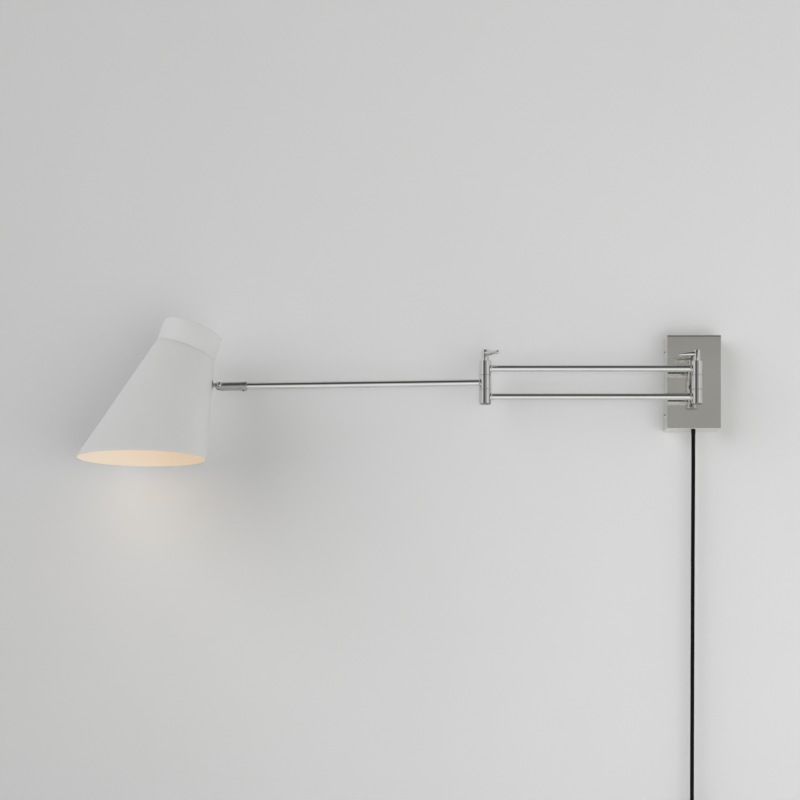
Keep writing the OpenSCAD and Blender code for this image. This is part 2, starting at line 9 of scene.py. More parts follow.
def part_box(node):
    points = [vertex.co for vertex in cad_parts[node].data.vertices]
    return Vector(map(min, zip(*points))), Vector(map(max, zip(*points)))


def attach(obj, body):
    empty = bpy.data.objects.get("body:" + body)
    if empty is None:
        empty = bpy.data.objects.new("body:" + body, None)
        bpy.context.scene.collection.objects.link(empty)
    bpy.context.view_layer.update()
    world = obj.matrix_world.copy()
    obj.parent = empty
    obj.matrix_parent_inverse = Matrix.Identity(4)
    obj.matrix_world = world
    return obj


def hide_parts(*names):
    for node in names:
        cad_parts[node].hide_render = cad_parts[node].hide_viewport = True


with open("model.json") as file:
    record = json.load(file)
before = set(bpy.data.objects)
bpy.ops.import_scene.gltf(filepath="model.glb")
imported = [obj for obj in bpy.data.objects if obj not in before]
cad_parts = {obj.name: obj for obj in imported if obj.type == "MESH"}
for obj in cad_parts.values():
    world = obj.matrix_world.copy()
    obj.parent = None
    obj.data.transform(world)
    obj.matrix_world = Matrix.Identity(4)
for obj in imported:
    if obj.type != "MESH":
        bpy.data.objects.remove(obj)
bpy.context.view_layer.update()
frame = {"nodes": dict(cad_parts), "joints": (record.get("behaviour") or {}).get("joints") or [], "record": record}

nodes = frame["nodes"]
joints = {joint["name"]: joint for joint in frame["joints"]}
scene = bpy.context.scene
scene.view_settings.view_transform = "Standard"
X, Y, Z = Vector((1, 0, 0)), Vector((0, 1, 0)), Vector((0, 0, 1))


# ---------- places taken from the frame ----------

def spot(joint):
    return Vector(joints[joint]["pos_m"])


def turn_axis(joint):
    return Vector(joints[joint]["axis"]).normalized()


def middle(node):
    low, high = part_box(node)
    return (low + high) / 2


wall_pivot = spot("wall_pivot")
elbow = spot("elbow_pivot")
arm_dir = turn_axis("shade_swivel")


# ---------- camera ----------

# level camera in front of the outer arm, shifted up so that upright lines stay upright
camera_data = bpy.data.cameras.new("camera")
camera_data.lens = 77.1
camera_data.sensor_width = 36
camera_data.shift_y = 0.369
camera = bpy.data.objects.new("camera", camera_data)
camera.location = (-0.4475, -2.640, -0.4769)
camera.rotation_euler = (radians(90), 0, 0)
scene.collection.objects.link(camera)
scene.camera = camera


# ---------- materials ----------

def add_node(tree, kind, inputs=None, **settings):
    """Adds a node with its settings; an input is either linked to a socket or set."""
    made = tree.nodes.new(kind)
    for key, value in settings.items():
        setattr(made, key, value)
    for key, value in (inputs or {}).items():
        if isinstance(value, bpy.types.NodeSocket):
            tree.links.new(value, made.inputs[key])
        else:
            made.inputs[key].default_value = value
    return made


def calc(tree, operation, *values):
    """Result of a maths node on sockets or numbers."""
    return add_node(tree, "ShaderNodeMath", dict(enumerate(values)), operation=operation).outputs[0]


def ease(tree, source, start, end, top=1.0):
    """Smooth rise from 0 at one value to the top at another."""
    inputs = {"Value": source, "From Min": start, "From Max": end, "To Max": top}
    return add_node(tree, "ShaderNodeMapRange", inputs, interpolation_type="SMOOTHSTEP").outputs[0]


class Shader:
    """A principled material and a short way to add and link nodes."""

    def __init__(self, name):
        self.material = bpy.data.materials.new(name)
        self.material.use_nodes = True
        self.tree = self.material.node_tree
        self.bsdf = self.tree.nodes["Principled BSDF"]
        self.coords = self.tree.nodes.new("ShaderNodeTexCoord").outputs["Object"]

    def node(self, kind, inputs=None, **settings):
        return add_node(self.tree, kind, inputs, **settings)

    def set(self, **values):
        for key, value in values.items():
            self.bsdf.inputs[key.replace("_", " ")].default_value = value

    def link(self, source, socket):
        self.tree.links.new(source, self.bsdf.inputs[socket])

    def stretched(self, scale):
        return self.node("ShaderNodeMapping", {"Vector": self.coords, "Scale": scale}).outputs[0]

    def noise(self, scale, detail, vector=None):
        inputs = {"Vector": vector or self.coords, "Scale": scale, "Detail": detail,
                  "Roughness": 0.55}
        return self.node("ShaderNodeTexNoise", inputs).outputs[0]

    def span(self, factor, low, high):
        inputs = {"Value": factor, "From Min": 0.3, "From Max": 0.7, "To Min": low, "To Max": high}
        return self.node("ShaderNodeMapRange", inputs).outputs[0]

    def tint(self, factor, dark, light):
        ramp = self.node("ShaderNodeValToRGB", {"Fac": factor})
        ramp.color_ramp.elements[0].position = 0.3
        ramp.color_ramp.elements[0].color = (*dark, 1)
        ramp.color_ramp.elements[1].position = 0.7
        ramp.color_ramp.elements[1].color = (*light, 1)
        return ramp.outputs[0]

    def bump(self, height, distance, strength):
        inputs = {"Height": height, "Distance": distance, "Strength": strength}
        self.link(self.node("ShaderNodeBump", inputs).outputs[0], "Normal")


SPARK_DEPTH = 0.00002
PEEL_DEPTH = 0.00002
# colour of the painted glow that stands in for the bulb's light inside the shade
PAINTED_GLOW_WARM = (1.0, 0.64, 0.30, 1)


def metal(name, dark, light, roughness, grain=(1, 1, 1), wave=0.00001, graze=1.0):
    """Plated or bare metal with fine polishing marks, faint smears and a little waviness.

    A graze below 1 darkens it just before grazing angles, as polished chromium does."""
    shader = Shader(name)
    smears = shader.noise(18, 5)
    marks = shader.noise(900, 3, shader.stretched(grain))
    shader.link(shader.tint(smears, dark, light), "Base Color")
    rough = {"Value": calc(shader.tree, "MULTIPLY", smears, marks), "From Min": 0.1,
             "From Max": 0.4, "To Min": roughness[0], "To Max": roughness[1]}
    shader.link(shader.node("ShaderNodeMapRange", rough).outputs[0], "Roughness")
    shader.set(Metallic=1.0, Specular_Tint=(graze, graze, graze, 1))
    shader.bump(marks, wave, 0.35)
    return shader.material


def enamel(name, dark, light, roughness, coat=0.0, painted_glow=0.0):
    """Sprayed paint with a faint orange-peel surface and slight unevenness in tone.

    A painted glow above 0 paints in, as a faint warm emission, the light that a lit bulb leaves on it."""
    shader = Shader(name)
    patches = shader.noise(9, 4)
    grain = shader.noise(1400, 2)
    shader.link(shader.tint(patches, dark, light), "Base Color")
    shader.link(shader.span(grain, roughness - 0.04, roughness + 0.04), "Roughness")
    shader.set(Coat_Weight=coat, Coat_Roughness=0.3, Emission_Color=PAINTED_GLOW_WARM,
               Emission_Strength=painted_glow)
    shader.bump(grain, PEEL_DEPTH, 0.5)
    return shader.material


def moulded(name, dark, light, roughness, pitch=1600, shine=0.5):
    """Moulded plastic or rubber: fine spark-eroded texture and dull patches from handling."""
    shader = Shader(name)
    patches = shader.noise(40, 5)
    texture = shader.noise(pitch, 3)
    shader.link(shader.tint(patches, dark, light), "Base Color")
    shader.link(shader.span(patches, roughness - 0.06, roughness + 0.08), "Roughness")
    shader.set(Specular_IOR_Level=shine)
    shader.bump(texture, SPARK_DEPTH, 0.6)
    return shader.material


def woven(name, dark, light, thread):
    """Woven nylon tape: crossed threads, a fuzzy sheen and uneven dye."""
    shader = Shader(name)
    waves = {"Vector": shader.coords, "Scale": 1 / thread}
    across, along = (shader.node("ShaderNodeTexWave", waves, bands_direction=axis).outputs[1]
                     for axis in "XY")
    shader.link(shader.tint(shader.noise(120, 4), dark, light), "Base Color")
    shader.set(Roughness=0.85, Sheen_Weight=0.4)
    shader.bump(calc(shader.tree, "ADD", across, along), 0.0002, 0.8)
    return shader.material


def opal(name, strength):
    """Opal bulb glass, lit from inside, its glow a little uneven."""
    shader = Shader(name)
    cloud = shader.noise(30, 3)
    shader.link(shader.tint(cloud, (0.90, 0.84, 0.76), (0.96, 0.91, 0.84)), "Base Color")
    shader.link(shader.span(cloud, 0.20, 0.28), "Roughness")
    shader.link(shader.tint(cloud, (1.0, 0.70, 0.42), (1.0, 0.75, 0.48)), "Emission Color")
    shader.set(Emission_Strength=strength)
    return shader.material


chrome = metal("polished_chrome", (0.82, 0.82, 0.82), (0.87, 0.87, 0.865), (0.05, 0.10),
               graze=0.3)
cover_finish = metal("cover_chrome", (0.80, 0.79, 0.75), (0.86, 0.85, 0.81), (0.06, 0.10),
                     grain=(1, 1, 6))
satin_chrome = metal("satin_chrome", (0.54, 0.54, 0.535), (0.60, 0.60, 0.595), (0.26, 0.36),
                     graze=0.9)
zinc = metal("zinc_plate", (0.50, 0.51, 0.53), (0.62, 0.63, 0.65), (0.28, 0.42), wave=0.00002)
brass = metal("bright_brass", (0.66, 0.50, 0.24), (0.78, 0.62, 0.32), (0.16, 0.28))
black_steel = metal("blackened_steel", (0.02, 0.02, 0.02), (0.05, 0.05, 0.05), (0.35, 0.5))
# inside of the shade: enamel with a painted warm glow in place of the bulb's light
shade_inside = enamel("painted_glow_enamel", (0.84, 0.82, 0.78), (0.88, 0.86, 0.82), 0.5, painted_glow=0.20)
woven_black = woven("woven_strap", (0.010, 0.010, 0.011), (0.035, 0.035, 0.037), 0.0011)
shade_white = enamel("shade_enamel", (0.81, 0.81, 0.805), (0.84, 0.84, 0.835), 0.48, coat=0.08)
cord_black = moulded("cord_jacket", (0.003, 0.003, 0.003), (0.007, 0.007, 0.007), 0.55,
                     shine=0.15)
sleeve_rubber = moulded("sleeve_rubber", (0.004, 0.004, 0.004), (0.010, 0.010, 0.010), 0.6,
                        shine=0.25)
black_plastic = moulded("black_plastic", (0.014, 0.014, 0.015), (0.028, 0.028, 0.030), 0.36)
holder_white = moulded("holder_ceramic", (0.78, 0.76, 0.71), (0.84, 0.82, 0.77), 0.25,
                       pitch=300)
bulb_opal = opal("lit_opal_glass", 3.0)

FINISH = {
    "chrome": chrome, "shade_white": shade_white, "zinc": zinc, "brass": brass,
    "cord_black": cord_black, "black_plastic": black_plastic, "holder_white": holder_white,
    "opal_glass": bulb_opal, "black_steel": black_steel,
}
for part in frame["record"]["subparts"]:
    data = nodes[part["node"]].data
    data.materials.clear()
    data.materials.append(FINISH[part["material_slot"]])
for name in ("swivel_sleeve", "swivel_ring"):
    nodes[name].data.materials[0] = satin_chrome


# ---------- shared mesh helpers ----------

def place(name, mesh, body, slot, stands_for=(), smooth_angle=35):
    """Links a mesh as a piece that rides on a body and takes a record slot's finish."""
    piece = bpy.data.objects.new(name, mesh)
    scene.collection.objects.link(piece)
    if not mesh.materials:
        mesh.materials.append(FINISH[slot])
    mesh.shade_smooth()
    mesh.set_sharp_from_angle(angle=radians(smooth_angle))
    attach(piece, body)
    if stands_for:
        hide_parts(*stands_for)
    return piece


def basis(origin, z_axis, x_hint):
    """Matrix whose z runs along z_axis and whose x is as near x_hint as it can be."""
    z_axis = z_axis.normalized()
    x_axis = (x_hint - z_axis * x_hint.dot(z_axis)).normalized()
    y_axis = z_axis.cross(x_axis)
    turn = Matrix((x_axis, y_axis, z_axis)).transposed().to_4x4()
    return Matrix.Translation(origin) @ turn


def add_revolved(bm, profile, matrix, steps=64, closed=False):
    """Adds the surface that a profile of (radius, height) makes when turned about z."""
    rings = []
    for radius, height in profile:
        if radius < 1e-7:
            rings.append([bm.verts.new(matrix @ Vector((0, 0, height)))])
            continue
        ring = []
        for k in range(steps):
            angle = 2 * pi * k / steps
            ring.append(bm.verts.new(matrix @ Vector((radius * cos(angle),
                                                      radius * sin(angle), height))))
        rings.append(ring)
    pairs = list(zip(rings, rings[1:]))
    if closed:
        pairs.append((rings[-1], rings[0]))
    for low, high in pairs:
        for k in range(steps):
            n = (k + 1) % steps
            if len(low) == 1 and len(high) == 1:
                continue
            if len(low) == 1:
                bm.faces.new((low[0], high[n], high[k]))
            elif len(high) == 1:
                bm.faces.new((low[k], low[n], high[0]))
            else:
                bm.faces.new((low[k], low[n], high[n], high[k]))


def foot_of(node):
    """Middle of the lower face of a node's box."""
    low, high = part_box(node)
    return Vector(((low.x + high.x) / 2, (low.y + high.y) / 2, low.z))


def finish_mesh(bm, name):
    bmesh.ops.recalc_face_normals(bm, faces=bm.faces)
    mesh = bpy.data.meshes.new(name)
    bm.to_mesh(mesh)
    bm.free()
    return mesh


def arc(centre, radius, start, end, steps):
    """Points (radius, height) on an arc, angles in degrees."""
    points = []
    for k in range(steps + 1):
        angle = radians(start + (end - start) * k / steps)
        points.append((centre[0] + radius * cos(angle), centre[1] + radius * sin(angle)))
    return points


CORNER_STEPS = 10
RUN_IN = 0.0004


def outline(width, height, corner):
    """Counter-clockwise outline of a rounded rectangle about the origin.

    A point close to each end of a straight side keeps the side's shading flat."""
    points = []
    for k, (sx, sy) in enumerate(((1, 1), (-1, 1), (-1, -1), (1, -1))):
        centre = (sx * (width / 2 - corner), sy * (height / 2 - corner))
        turn = arc(centre, corner, 90 * k, 90 * k + 90, CORNER_STEPS)
        sine, cosine = sin(radians(90 * k)), cos(radians(90 * k))
        before = (turn[0][0] + RUN_IN * sine, turn[0][1] - RUN_IN * cosine)
        after = (turn[-1][0] - RUN_IN * cosine, turn[-1][1] - RUN_IN * sine)
        points += [before] + turn + [after]
    return points


def skin_rings(bm, rings, matrix, closed=False):
    """Skins a stack of rings of points, then caps it or joins its ends."""
    rings = [[bm.verts.new(matrix @ point) for point in ring] for ring in rings]
    count = len(rings[0])
    pairs = list(zip(rings, rings[1:]))
    if closed:
        pairs.append((rings[-1], rings[0]))
    for low, high in pairs:
        for k in range(count):
            n = (k + 1) % count
            bm.faces.new((low[k], low[n], high[n], high[k]))
    if not closed:
        bm.faces.new(reversed(rings[0]))
        bm.faces.new(rings[-1])


def add_layers(bm, layers, matrix, closed=False):
    """Skins a stack of flat outlines, each (points, height)."""
    rings = [[Vector((x, y, height)) for x, y in points] for points, height in layers]
    skin_rings(bm, rings, matrix, closed)


def soft_edge(width, height, corner, edge, start):
    """Layers that round an outline's edge over, from a given height up."""
    layers = []
    steps = 5
    for k in range(steps + 1):
        angle = radians(90 * k / steps)
        inset = edge * (1 - cos(angle))
        layers.append((outline(width - 2 * inset, height - 2 * inset,
                               max(corner - inset, 0.0006)), start + edge * sin(angle)))
    return layers


# ---------- cord ----------

# the cord's run is given in millimetres: down the wall, round the coil, and to the plug
MM = 0.001
CORD_D = 6
CORD_OUT = 17
HANG_X = -0.5
COIL_TURNS = 5
COIL_R = 33
COIL_PITCH = 6.3
COIL_Z = -770
STEPS_A_TURN = 48
PLUG_Z = -836

sway = (1.5, 1.5, 1.4, 1.2, 1.0, 0.8, 0.7, 0.5, 0.4, 0.3, 0.1, 0.0, -0.1, -0.3, -0.4)
hang = [(x, -CORD_OUT, -79 - 36 * k) for k, x in enumerate(sway)]
hang += [(HANG_X, -CORD_OUT, z) for z in (-619, -655, -685, -715, -733, -752)]
coil = []
for k in range(COIL_TURNS * STEPS_A_TURN + 1):
    turn = k / STEPS_A_TURN
    coil.append((HANG_X + COIL_R - COIL_R * cos(2 * pi * turn), -CORD_OUT - COIL_PITCH * turn,
                 COIL_Z - COIL_R * sin(2 * pi * turn)))
tail_y = -CORD_OUT - COIL_PITCH * COIL_TURNS
tail = [(HANG_X, tail_y, z) for z in (-784, -798, -816, PLUG_Z)]
route = [Vector(point) * MM for point in hang + coil + tail]

cord_curve = bpy.data.curves.new("cord", "CURVE")
cord_curve.dimensions = "3D"
cord_curve.bevel_depth = CORD_D * MM / 2
cord_curve.bevel_resolution = 5
cord_curve.use_fill_caps = True
spline = cord_curve.splines.new("POLY")
spline.points.add(len(route) - 1)
for point, place_at in zip(spline.points, route):
    point.co = (*place_at, 1)
spline.use_smooth = True
cord = bpy.data.objects.new("cord", cord_curve)
scene.collection.objects.link(cord)
cord_curve.materials.append(cord_black)
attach(cord, "wall_box")
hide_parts("mains_cord", "cord_lower", "cord_coil", "plug_lead")


# ---------- pieces on the cord ----------

SWITCH_WALL = 0.002
PARTING = 0.00005
ROCKER_HOLE = (0.0124, 0.0214)


def cord_collar(bm, end, out):
    """Short flared collar where the cord enters the switch."""
    collar = [(0.0030, -0.001), (0.0056, -0.001), (0.0056, 0.0006), (0.0050, 0.0014),
              (0.0046, 0.0040), (0.0041, 0.0060), (0.0037, 0.0066), (0.0030, 0.0066)]
    centre = Vector((HANG_X * MM, -CORD_OUT * MM, end))
    add_revolved(bm, collar, basis(centre, out, X), 40, closed=True)


def switch_half(name, node, outward, edge, opening=None):
    """One moulded half of the in-line switch; the front one has the rocker's opening."""
    low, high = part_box(node)
    width, depth, height = high - low
    corner = 0.007
    inner = outline(width - 2 * SWITCH_WALL, height - 2 * SWITCH_WALL, corner - SWITCH_WALL)
    outer = outline(width, height, corner)
    layers = [(inner, depth - SWITCH_WALL), (inner, 0), (outer, 0),
              (outer, depth - edge - 0.0005)]
    layers += soft_edge(width, height, corner, edge, depth - edge)
    bm = bmesh.new()
    back_y = -CORD_OUT * MM + PARTING * outward.y
    back_at = basis(Vector((HANG_X * MM, back_y, middle(node).z)), outward, X)
    if opening:
        # a low lip round the opening, then down through the wall
        for wider, round_off, level in ((0.0028, 0.0022, depth), (0.0022, 0.0020, depth + 0.0004),
                                        (0.0006, 0.0012, depth + 0.0004), (0, 0.0010, depth),
                                        (0, 0.0010, depth - SWITCH_WALL)):
            layers.append((outline(opening[0] + wider, opening[1] + wider, round_off), level))
    add_layers(bm, layers, back_at, closed=bool(opening))
    if not opening:
        cord_collar(bm, high.z, Z)
        cord_collar(bm, low.z, -Z)
    return place(name, finish_mesh(bm, name), "wall_box", "black_plastic", [node], 30)


def plug_moulding():
    """Flat two-pin plug: ribbed grip, shoulders, and a ringed sleeve for the cord."""
    low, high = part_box("plug_body")
    width = high.x - low.x
    thick = high.y - low.y
    layers = [(outline(width - 0.0012, thick - 0.0012, 0.0052), 0),
              (outline(width - 0.0004, thick - 0.0004, 0.0056), 0.0003),
              (outline(width, thick, 0.0058), 0.0009), (outline(width, thick, 0.0058), 0.0026)]
    grip_low, grip_high, ribs, rib_steps, corner = 0.0030, 0.0150, 5, 8, 0.0055
    for k in range(ribs * rib_steps + 1):
        height = grip_low + (grip_high - grip_low) * k / (ribs * rib_steps)
        dip = 0.00045 * (1 - cos(2 * pi * k / rib_steps))
        layers.append((outline(width - 2 * dip, thick - 2 * dip, corner - dip), height))
    neck, neck_corner, shoulder_low, shoulder_h, steps = 0.0104, 0.0047, 0.0154, 0.0106, 12
    for k in range(1, steps + 1):
        t = (1 - cos(pi * k / steps)) / 2
        layers.append((outline(width + (neck - width) * t, thick + (neck - thick) * t,
                               corner + (neck_corner - corner) * t),
                       shoulder_low + shoulder_h * k / steps))
    bm = bmesh.new()
    foot_at = basis(foot_of("plug_body"), Z, X)
    add_layers(bm, layers, foot_at)
    sleeve = [(0.0010, 0.0255), (0.0052, 0.0255)]
    for k in range(4):
        start = 0.0264 + 0.0022 * k
        radius = 0.0051 - 0.00036 * k
        sleeve += [(radius, start), (radius, start + 0.0012), (radius - 0.0007, start + 0.0014),
                   (radius - 0.0008, start + 0.0020)]
    sleeve += [(0.0038, 0.0352), (0.0036, 0.0359), (0.0010, 0.0360)]
    add_revolved(bm, sleeve, foot_at, 40, closed=True)
    return place("plug_moulding", finish_mesh(bm, "plug_moulding"), "wall_box",
                 "black_plastic", ["plug_body"], 40)


def coil_strap():
    """Woven strap looped round the coil's turns, with its free end pressed down in front."""
    low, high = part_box("coil_tie")
    wide, length, thick = high - low
    centre = middle("coil_tie")
    cloth, edge = 0.0012, 0.0004
    inside = outline(length - 2 * cloth, thick - 2 * cloth, 0.0036)
    eased = outline(length - 2 * edge, thick - 2 * edge, 0.0045)
    full = outline(length, thick, 0.0049)
    layers = [(inside, wide - edge), (inside, edge), (eased, 0), (full, edge),
              (full, wide - edge), (eased, wide)]
    bm = bmesh.new()
    side = Vector((low.x, centre.y, centre.z))
    add_layers(bm, layers, basis(side, X, Y), closed=True)
    tab_mid = Vector((centre.x, centre.y - 0.004, high.z - 0.0002))
    tab = outline(wide - 0.0016, 0.026, 0.0045)
    small = outline(wide - 0.0022, 0.0254, 0.0042)
    add_layers(bm, [(tab, 0), (tab, 0.0008), (small, 0.0011)], basis(tab_mid, Z, X))
    mesh = finish_mesh(bm, "coil_strap")
    mesh.materials.append(woven_black)
    return place("coil_strap", mesh, "wall_box", "black_plastic", ["coil_tie"], 40)


moulded_pieces = [
    switch_half("switch_back_half", "switch_back", Y, 0.0022),
    switch_half("switch_front_half", "switch_front", -Y, 0.0034, ROCKER_HOLE),
    plug_moulding(), coil_strap(),
]


def relief_sleeve():
    """Rubber sleeve with flex rings and a collar that the box's floor holds."""
    profile = [(0.0026, 0), (0.0031, 0), (0.0032, 0.0003)]
    for k in range(4):
        start = 0.0008 + 0.0018 * k
        radius = 0.0033 + 0.00006 * k
        profile += [(radius - 0.0003, start), (radius - 0.0003, start + 0.0003),
                    (radius, start + 0.0005), (radius, start + 0.0017)]
    profile += [(0.0042, 0.0083), (0.0042, 0.0096), (0.0062, 0.0096), (0.0065, 0.0099),
                (0.0065, 0.0113), (0.0062, 0.0116), (0.0042, 0.0116), (0.0036, 0.0240),
                (0.0026, 0.0240)]
    bm = bmesh.new()
    add_revolved(bm, profile, basis(foot_of("cord_relief"), Z, X), 48, closed=True)
    mesh = finish_mesh(bm, "relief_sleeve")
    mesh.materials.append(sleeve_rubber)
    place("relief_sleeve", mesh, "wall_box", "black_plastic", ["cord_relief"], 30)


relief_sleeve()


# ---------- wall cover ----------

def wall_cover():
    """Pressed cover, open at the wall: a soft fold along its top, crisp edges elsewhere."""
    low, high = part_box("wall_cover")
    width, depth, height = high - low
    edge, fold, sheet, corner, fold_steps = 0.0007, 0.0026, 0.0015, 0.0012, 8
    body = outline(width, height, corner)
    hollow = outline(width - 2 * sheet, height - 2 * sheet, 0.0006)
    centre = middle("wall_cover")
    place_at = basis(Vector((centre.x, 0, centre.z)), -Y, X)
    # the outline is taken as seen from behind, so the fold's side is found in world terms
    up = (place_at.to_3x3() @ Vector((0, 1, 0))).z

    def bend(x, y, angle, run_on=0.0):
        """A point of the outline, carried round its edge by an angle."""
        top = min(max((y * up - height / 2 + corner) / corner, 0), 1)
        radius = edge + (fold - edge) * top
        inset = 1 - cos(angle)
        sideways = 1 - (edge * inset + run_on) / (width / 2)
        upright = 1 - ((fold if y * up > 0 else edge) * inset + run_on) / (height / 2)
        return Vector((x * sideways, y * upright, depth - radius + radius * sin(angle)))

    rings = [[Vector((x, y, depth - sheet)) for x, y in hollow],
             [Vector((x, y, 0)) for x, y in hollow], [Vector((x, y, 0)) for x, y in body],
             [bend(x, y, 0) - Vector((0, 0, 0.0005)) for x, y in body]]
    rings += [[bend(x, y, radians(90 * k / fold_steps)) for x, y in body]
              for k in range(fold_steps + 1)]
    rings += [[bend(x, y, radians(90), run_on) for x, y in body] for run_on in (0.0004, 0.0030)]
    bm = bmesh.new()
    skin_rings(bm, rings, place_at)
    mesh = finish_mesh(bm, "wall_cover_shell")
    mesh.materials.append(cover_finish)
    place("wall_cover_shell", mesh, "wall_box", "chrome", ["wall_cover"], smooth_angle=50)


wall_cover()


# ---------- clamp levers ----------

def clamp_lever(name, node, body, pivot, direction):
    """Round hub with a domed top and a lever that grows out of it through a fillet."""
    low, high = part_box(node)
    foot = Vector((pivot.x, pivot.y, low.z))
    hub_h = high.z - low.z
    hub_r, dome, stem_below_top = 0.0054, 0.0012, 0.0052
    bm = bmesh.new()
    hub = [(0, 0.0001), (hub_r - 0.0006, 0.0001), (hub_r - 0.0001, 0.0004), (hub_r, 0.0009)]
    hub += arc((hub_r - dome, hub_h - dome), dome, 0, 90, 6)
    hub += [(0, hub_h)]
    add_revolved(bm, hub, basis(foot, Z, X), 48)
    stem = [(0, 0.001), (0.0046, 0.001), (0.0045, 0.0042), (0.0041, 0.0052), (0.0038, 0.0066),
            (0.0036, 0.0085), (0.0033, 0.0115), (0.0028, 0.0165), (0.0024, 0.0208),
            (0.0023, 0.0222), (0.0024, 0.0230), (0.0028, 0.0236)]
    stem += arc((0.0, 0.0251), 0.0031, -28, 90, 10)
    add_revolved(bm, stem, basis(foot + Z * (hub_h - stem_below_top), direction, Z), 32)
    place(name, finish_mesh(bm, name), body, "chrome", [node])


LEVER_DROOP = 0.06
ELBOW_LEVER_AT = radians(-46)
clamp_lever("wall_lever_turned", "wall_lever", "wall_clamp_lever", wall_pivot,
            -X - Z * LEVER_DROOP)
clamp_lever("elbow_lever_turned", "elbow_lever", "elbow_clamp_lever", elbow,
            Vector((cos(ELBOW_LEVER_AT), sin(ELBOW_LEVER_AT), -LEVER_DROOP)))


# ---------- brazed joints ----------

ROD_R = 0.005
BARREL_R = 0.00875


def braze(name, body, rod_end, along):
    """Small ring of braze that flares from a rod to the barrel it enters."""
    start = BARREL_R - 0.0016
    profile = [(ROD_R - 0.0004, start), (ROD_R + 0.0014, start), (ROD_R + 0.0013, start + 0.0013)]
    profile += [(r, start + h) for r, h in arc((ROD_R + 0.0016, 0.0034), 0.0016, 250, 180, 6)]
    profile += [(ROD_R - 0.0004, start + 0.0036)]
    bm = bmesh.new()
    add_revolved(bm, profile, basis(rod_end, along, Z), 48, closed=True)
    place(name, finish_mesh(bm, name), body, "chrome")


for level in ("upper", "lower"):
    height = middle(f"{level}_rod").z
    at_wall = Vector((wall_pivot.x, wall_pivot.y, height))
    at_elbow = Vector((elbow.x, elbow.y, height))
    braze(f"{level}_wall_braze", "inner_arm", at_wall, at_elbow - at_wall)
    braze(f"{level}_elbow_braze", "inner_arm", at_elbow, at_wall - at_elbow)
braze("outer_elbow_braze", "outer_arm", elbow, arm_dir)


# ---------- shade ----------

NIPPLE_ABOVE_SEAM = 0.021
SEAM_R = 0.0452
CONE = radians(14.4)
SHEET = 0.0012
CAP_R = SEAM_R - 0.0006
CAP_H = 0.036
COLLAR_H = 0.006
COLLAR_GAP = 0.0003
nipple = middle("holder_nipple")
shade_up = (middle("nipple_nut") - nipple).normalized()
seam_centre = nipple - shade_up * NIPPLE_ABOVE_SEAM
mouth_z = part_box("shade_shell")[0].z
shade_frame = basis(seam_centre, shade_up, -arm_dir)


def mouth_height(angle, radius_at_seam):
    """Height along the shade's axis where a line down the cone meets the level mouth."""
    out = shade_frame.to_3x3() @ Vector((cos(angle), sin(angle), 0))
    start_z = (seam_centre + out * radius_at_seam).z
    return (mouth_z - start_z) / (shade_up.z - tan(CONE) * out.z)


def shade_shell():
    """Cone cut level at the mouth, with a rolled rim, and a collar that the cap sits over."""
    steps, levels, rim_steps, chamfer = 160, 24, 8, 0.0003
    inner = SEAM_R - SHEET / cos(CONE)
    collar_r = CAP_R - SHEET - COLLAR_GAP
    bm = bmesh.new()
    rows = []
    for k in range(steps):
        angle = 2 * pi * k / steps
        down_out = mouth_height(angle, SEAM_R)
        down_in = mouth_height(angle, inner)
        line = [(collar_r, COLLAR_H), (collar_r, 0), (SEAM_R - chamfer, 0), (SEAM_R, -chamfer)]
        for i in range(1, levels):
            height = -chamfer + (down_out + chamfer) * i / levels
            line.append((SEAM_R - height * tan(CONE), height))
        # rolled rim: a half circle of the sheet's thickness
        rim_out = (SEAM_R - down_out * tan(CONE), down_out)
        rim_in = (inner - down_in * tan(CONE), down_in)
        mid = ((rim_out[0] + rim_in[0]) / 2, (rim_out[1] + rim_in[1]) / 2)
        half = (rim_out[0] - rim_in[0]) / 2
        for i in range(rim_steps + 1):
            turn = pi * i / rim_steps
            line.append((mid[0] + half * cos(turn),
                         mid[1] + (rim_out[1] - mid[1]) * cos(turn) + half * (1 - sin(turn))))
        for i in range(levels - 1, 0, -1):
            height = -SHEET + (down_in + SHEET) * i / levels
            line.append((inner - height * tan(CONE), height))
        line += [(inner, -SHEET), (collar_r - SHEET, -SHEET), (collar_r - SHEET, COLLAR_H)]
        rows.append([bm.verts.new(shade_frame @ Vector((r * cos(angle), r * sin(angle), h)))
                     for r, h in line])
    count = len(rows[0])
    first_inside = 4 + (levels - 1) + rim_steps
    for k in range(steps):
        n = (k + 1) % steps
        for i in range(count):
            j = (i + 1) % count
            face = bm.faces.new((rows[k][i], rows[n][i], rows[n][j], rows[k][j]))
            # faces inside the cone take the enamel with the painted glow
            face.material_index = 1 if i >= first_inside else 0
    mesh = finish_mesh(bm, "shade_cone")
    mesh.materials.append(shade_white)
    mesh.materials.append(shade_inside)
    place("shade_cone", mesh, "shade", "shade_white", ["shade_shell"], 40)


def shade_cap():
    """Closed round cap with a soft top edge and a turned lower edge over the cone."""
    edge = 0.0016
    profile = [(0, CAP_H), (CAP_R - 1.5 * edge, CAP_H)]
    profile += arc((CAP_R - edge, CAP_H - edge), edge, 90, 0, 8)
    profile += [(CAP_R, 0.0006), (CAP_R - 0.0003, 0.0003), (CAP_R - SHEET, 0.0003),
                (CAP_R - SHEET, CAP_H - SHEET), (0, CAP_H - SHEET)]
    bm = bmesh.new()
    add_revolved(bm, profile, shade_frame, 160)
    place("shade_cap_turned", finish_mesh(bm, "shade_cap_turned"), "shade", "shade_white",
          ["shade_cap"], 50)


shade_shell()
shade_cap()


# ---------- bulb ----------

